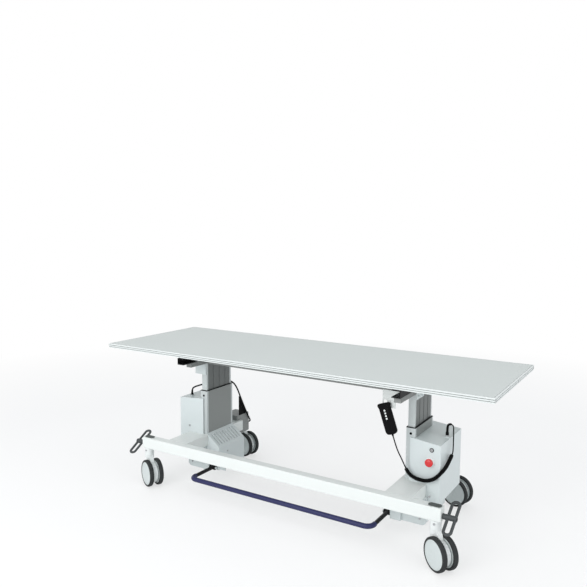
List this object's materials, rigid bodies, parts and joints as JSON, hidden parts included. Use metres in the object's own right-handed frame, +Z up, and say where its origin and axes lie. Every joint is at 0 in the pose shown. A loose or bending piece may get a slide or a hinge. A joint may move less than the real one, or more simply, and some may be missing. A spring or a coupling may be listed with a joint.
{
  "type": "radiography table",
  "caption": "Mobile elevating radiography table with four-way floating top, two lift columns, swivel casters, brake pedals, foot treadle and wired handset.",
  "frame": {"origin": "on the floor under the middle of the tabletop", "axes": "+X along the top towards the control cover, -Y towards the long beam and foot treadle, +Z up"},
  "size_m": [2.2024, 0.8211, 0.8],
  "materials": {
    "laminate": "satin",
    "edge_aluminium": "satin",
    "aluminium": "satin",
    "column_metal": "satin",
    "black_metal": "satin",
    "white_paint": "satin",
    "grey_paint": "satin",
    "dark_paint": "satin",
    "steel": "satin",
    "black_plastic": "matte",
    "dark_plastic": "matte",
    "white_plastic": "matte",
    "wheel_grey": "matte",
    "tread_rubber": "matte",
    "cord_rubber": "matte",
    "sleeve_blue": "satin",
    "stop_red": "gloss"
  },
  "bodies": {
    "base": {"base_beam": "white_paint", "legs": "white_paint", "outer_columns": "column_metal", "lift_housings": "grey_paint", "vent_cover": "grey_paint", "right_cover": "grey_paint", "left_cover": "grey_paint", "rear_unit": "dark_paint", "black_trim": "black_plastic", "fixings": "steel", "estop_collar": "white_plastic", "cable_glands": "black_plastic", "caster_sockets": "white_plastic", "treadle_hinges": "grey_paint", "curly_cord": "cord_rubber", "gland_lead": "cord_rubber", "link_cable": "cord_rubber"},
    "lift": {"cross_rails": "black_metal", "underframe": "dark_paint", "inner_columns": "column_metal", "column_heads": "grey_paint", "handset_hook": "white_paint", "handset_shell": "black_plastic", "handset_lead": "cord_rubber"},
    "carriage": {"carriage": "aluminium", "float_brakes": "dark_plastic"},
    "tabletop": {"top_panel": "laminate", "edge_profiles": "edge_aluminium", "top_runners": "aluminium", "profile_screws": "steel"},
    "pedals": {"brake_pedals": "dark_plastic", "lock_shaft": "steel"},
    "treadle": {"treadle_bar": "black_metal", "treadle_sleeve": "sleeve_blue"},
    "estop": {"estop_button": "stop_red"},
    "key": {"key_barrel": "steel"},
    "key_1": {"handset_key_1": "white_plastic"},
    "key_2": {"handset_key_2": "white_plastic"},
    "key_3": {"handset_key_3": "white_plastic"},
    "key_4": {"handset_key_4": "white_plastic"},
    "swivel_left_front": {"fork_left_front": "white_plastic"},
    "roller_left_front_near": {"wheel_left_front_near": "wheel_grey", "tread_left_front_near": "tread_rubber"},
    "roller_left_front_far": {"wheel_left_front_far": "wheel_grey", "tread_left_front_far": "tread_rubber"},
    "swivel_left_rear": {"fork_left_rear": "white_plastic"},
    "roller_left_rear_near": {"wheel_left_rear_near": "wheel_grey", "tread_left_rear_near": "tread_rubber"},
    "roller_left_rear_far": {"wheel_left_rear_far": "wheel_grey", "tread_left_rear_far": "tread_rubber"},
    "swivel_right_front": {"fork_right_front": "white_plastic"},
    "roller_right_front_near": {"wheel_right_front_near": "wheel_grey", "tread_right_front_near": "tread_rubber"},
    "roller_right_front_far": {"wheel_right_front_far": "wheel_grey", "tread_right_front_far": "tread_rubber"},
    "swivel_right_rear": {"fork_right_rear": "white_plastic"},
    "roller_right_rear_near": {"wheel_right_rear_near": "wheel_grey", "tread_right_rear_near": "tread_rubber"},
    "roller_right_rear_far": {"wheel_right_rear_far": "wheel_grey", "tread_right_rear_far": "tread_rubber"}
  },
  "joints": [
    {"name": "lift_travel", "type": "slide", "parent": "base", "child": "lift", "axis": [0, 0, 1], "range_m": [-0.09, 0.14], "deforming": ["handset_lead"]},
    {"name": "float_across", "type": "slide", "parent": "lift", "child": "carriage", "axis": [0, 1, 0], "range_m": [-0.1, 0.1]},
    {"name": "float_along", "type": "slide", "parent": "carriage", "child": "tabletop", "axis": [1, 0, 0], "range_m": [-0.35, 0.35]},
    {"name": "brake_pedal_shaft", "type": "hinge", "parent": "base", "child": "pedals", "pos_m": [0, -0.313, 0.232], "axis": [1, 0, 0], "range_deg": [-64, 0]},
    {"name": "float_treadle", "type": "hinge", "parent": "base", "child": "treadle", "pos_m": [0, -0.12, 0.092], "axis": [1, 0, 0], "range_deg": [0, 8], "stiffness_Nm_per_rad": 20, "springref_deg": -34.38},
    {"name": "stop_push", "type": "slide", "parent": "base", "child": "estop", "axis": [0, 1, 0], "range_m": [0, 0.0035]},
    {"name": "key_turn", "type": "hinge", "parent": "base", "child": "key", "pos_m": [0.755, -0.105, 0.441], "axis": [0, 1, 0], "range_deg": [0, 90]},
    {"name": "key_1_push", "type": "slide", "parent": "lift", "child": "key_1", "axis": [0, 1, 0], "range_m": [0, 0.001], "stiffness_N_per_m": 250, "springref_m": -0.001},
    {"name": "key_2_push", "type": "slide", "parent": "lift", "child": "key_2", "axis": [0, 1, 0], "range_m": [0, 0.001], "stiffness_N_per_m": 250, "springref_m": -0.001},
    {"name": "key_3_push", "type": "slide", "parent": "lift", "child": "key_3", "axis": [0, 1, 0], "range_m": [0, 0.001], "stiffness_N_per_m": 250, "springref_m": -0.001},
    {"name": "key_4_push", "type": "slide", "parent": "lift", "child": "key_4", "axis": [0, 1, 0], "range_m": [0, 0.001], "stiffness_N_per_m": 250, "springref_m": -0.001},
    {"name": "swivel_left_front", "type": "hinge", "parent": "base", "child": "swivel_left_front", "pos_m": [-0.853, -0.313, 0.12], "axis": [0, 0, 1], "continuous": true},
    {"name": "roll_left_front_near", "type": "hinge", "parent": "swivel_left_front", "child": "roller_left_front_near", "pos_m": [-0.82747, -0.35585, 0.075], "axis": [0.4147, 0.91, 0], "continuous": true},
    {"name": "roll_left_front_far", "type": "hinge", "parent": "swivel_left_front", "child": "roller_left_front_far", "pos_m": [-0.80391, -0.30416, 0.075], "axis": [0.4147, 0.91, 0], "continuous": true},
    {"name": "swivel_left_rear", "type": "hinge", "parent": "base", "child": "swivel_left_rear", "pos_m": [-0.691, 0.365, 0.12], "axis": [0, 0, 1], "continuous": true},
    {"name": "roll_left_rear_near", "type": "hinge", "parent": "swivel_left_rear", "child": "roller_left_rear_near", "pos_m": [-0.65555, 0.32991, 0.075], "axis": [0.1736, 0.9848, 0], "continuous": true},
    {"name": "roll_left_rear_far", "type": "hinge", "parent": "swivel_left_rear", "child": "roller_left_rear_far", "pos_m": [-0.64569, 0.38585, 0.075], "axis": [0.1736, 0.9848, 0], "continuous": true},
    {"name": "swivel_right_front", "type": "hinge", "parent": "base", "child": "swivel_right_front", "pos_m": [0.853, -0.313, 0.12], "axis": [0, 0, 1], "continuous": true},
    {"name": "roll_right_front_near", "type": "hinge", "parent": "swivel_right_front", "child": "roller_right_front_near", "pos_m": [0.8703, -0.35978, 0.075], "axis": [0.5736, 0.8192, 0], "continuous": true},
    {"name": "roll_right_front_far", "type": "hinge", "parent": "swivel_right_front", "child": "roller_right_front_far", "pos_m": [0.90287, -0.31325, 0.075], "axis": [0.5736, 0.8192, 0], "continuous": true},
    {"name": "swivel_right_rear", "type": "hinge", "parent": "base", "child": "swivel_right_rear", "pos_m": [0.701, 0.365, 0.12], "axis": [0, 0, 1], "continuous": true},
    {"name": "roll_right_rear_near", "type": "hinge", "parent": "swivel_right_rear", "child": "roller_right_rear_near", "pos_m": [0.73456, 0.3281, 0.075], "axis": [0.225, 0.9744, 0], "continuous": true},
    {"name": "roll_right_rear_far", "type": "hinge", "parent": "swivel_right_rear", "child": "roller_right_rear_far", "pos_m": [0.74734, 0.38345, 0.075], "axis": [0.225, 0.9744, 0], "continuous": true}
  ]
}
